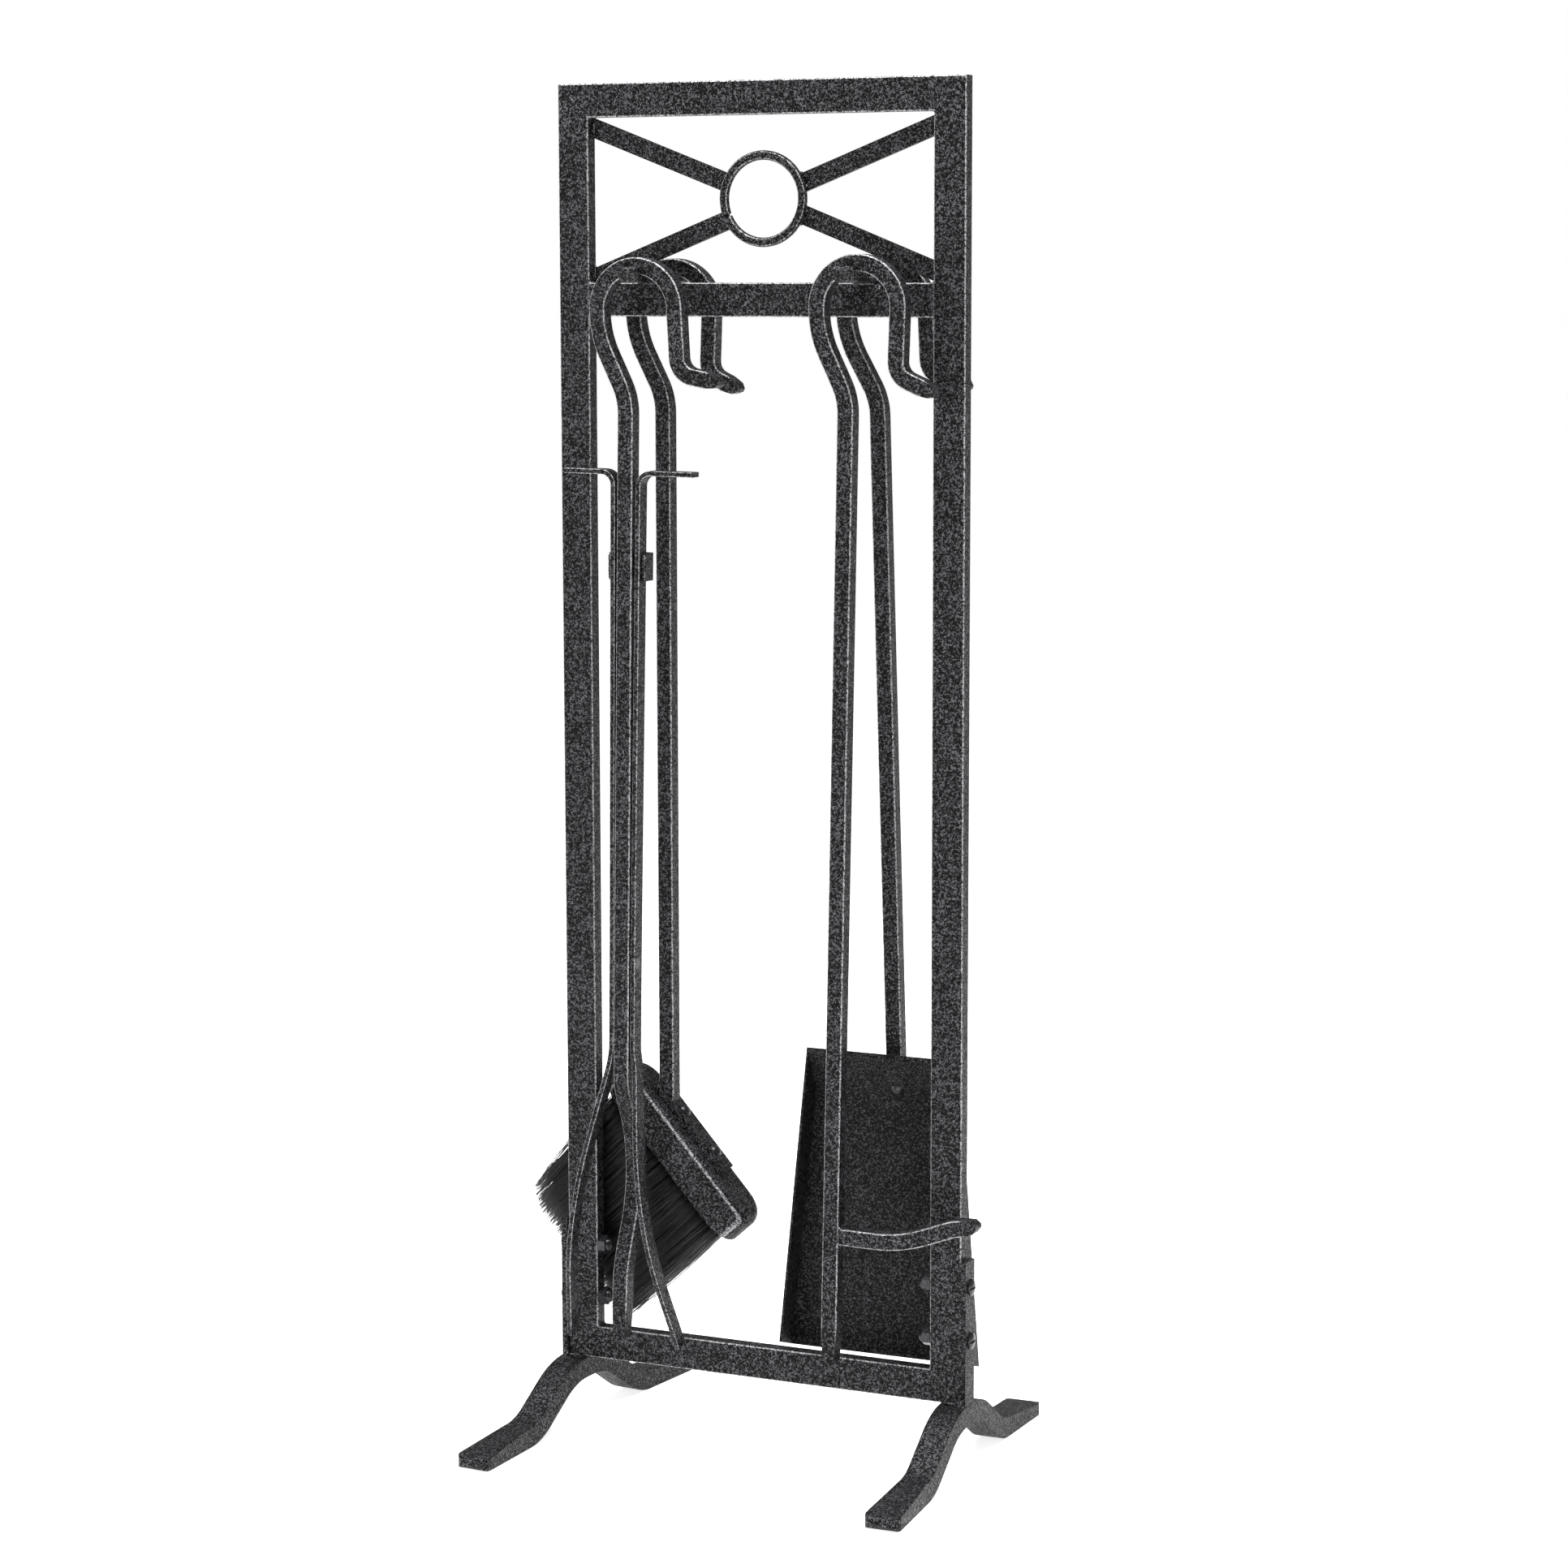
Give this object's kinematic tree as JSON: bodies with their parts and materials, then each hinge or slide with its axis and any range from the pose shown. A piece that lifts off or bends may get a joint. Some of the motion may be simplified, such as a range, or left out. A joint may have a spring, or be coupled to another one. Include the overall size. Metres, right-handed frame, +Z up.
{
  "type": "fireplace tool set",
  "caption": "Fireplace tool set: a footed steel frame with a ring emblem and two cross hangers that carry a poker, a shovel, a brush and log tongs by their crooked handles.",
  "frame": {"origin": "on the floor, under the middle of the whole set's bounding box; the frame's own middle is 7.2 mm to its +X side", "axes": "+X along the width of the stand, seen from its front; +Y from its front to its back; +Z up"},
  "size_m": [0.3173, 0.2502, 0.826],
  "materials": {
    "coated_steel": "charcoal hammertone powder coat, satin",
    "fastener_steel": "black oxide, slightly glossy",
    "block_wood": "dark stained, hidden inside the cap",
    "bristle_fibre": "black synthetic strands"
  },
  "bodies": {
    "stand": {"stile_left": "coated_steel", "stile_right": "coated_steel", "top_rail": "coated_steel", "bottom_rail": "coated_steel", "mid_rail": "coated_steel", "diagonal_upper_left": "coated_steel", "diagonal_upper_right": "coated_steel", "diagonal_lower_left": "coated_steel", "diagonal_lower_right": "coated_steel", "centre_ring": "coated_steel", "hanger_left": "coated_steel", "hanger_right": "coated_steel", "foot_left": "coated_steel", "foot_right": "coated_steel", "foot_plate_left": "coated_steel", "foot_plate_right": "coated_steel", "foot_bolts_left": "fastener_steel", "foot_bolts_right": "fastener_steel", "foot_nuts_left": "fastener_steel", "foot_nuts_right": "fastener_steel"},
    "poker": {"poker_crook": "coated_steel", "poker_shaft": "coated_steel", "poker_hook": "coated_steel"},
    "shovel": {"shovel_crook": "coated_steel", "shovel_shaft": "coated_steel", "shovel_pan": "coated_steel", "shovel_rivet": "fastener_steel"},
    "brush": {"brush_crook": "coated_steel", "brush_shaft": "coated_steel", "brush_strap": "coated_steel", "brush_cap": "coated_steel", "brush_block": "block_wood", "brush_bristles": "bristle_fibre", "brush_rivets": "fastener_steel"},
    "tongs": {"tongs_crook": "coated_steel", "tongs_shaft": "coated_steel", "tongs_middle_prong": "coated_steel", "tongs_pin": "fastener_steel"},
    "tongs_fork": {"tongs_arm_left": "coated_steel", "tongs_arm_right": "coated_steel", "tongs_prong_left": "coated_steel", "tongs_prong_right": "coated_steel", "tongs_bridge": "coated_steel"}
  },
  "joints": [
    {"name": "poker_lift", "type": "slide", "parent": "stand", "child": "poker", "axis": [0, -0.7071, 0.7071], "range_m": [0, 0.3]},
    {"name": "shovel_lift", "type": "slide", "parent": "stand", "child": "shovel", "axis": [0, 0.7071, 0.7071], "range_m": [0, 0.3]},
    {"name": "brush_lift", "type": "slide", "parent": "stand", "child": "brush", "axis": [0, 0.7071, 0.7071], "range_m": [0, 0.3]},
    {"name": "tongs_lift", "type": "slide", "parent": "stand", "child": "tongs", "axis": [0, -0.7071, 0.7071], "range_m": [0, 0.3]},
    {"name": "tongs_open", "type": "hinge", "parent": "tongs", "child": "tongs_fork", "pos_m": [-0.0735, -0.0255, 0.29814], "axis": [-0.9999, 0, 0.0157], "range_deg": [0, 25]}
  ],
  "couplings": [
    {"joint": "tongs_open", "follows": "tongs_lift", "rad_per_m": 1.454}
  ]
}
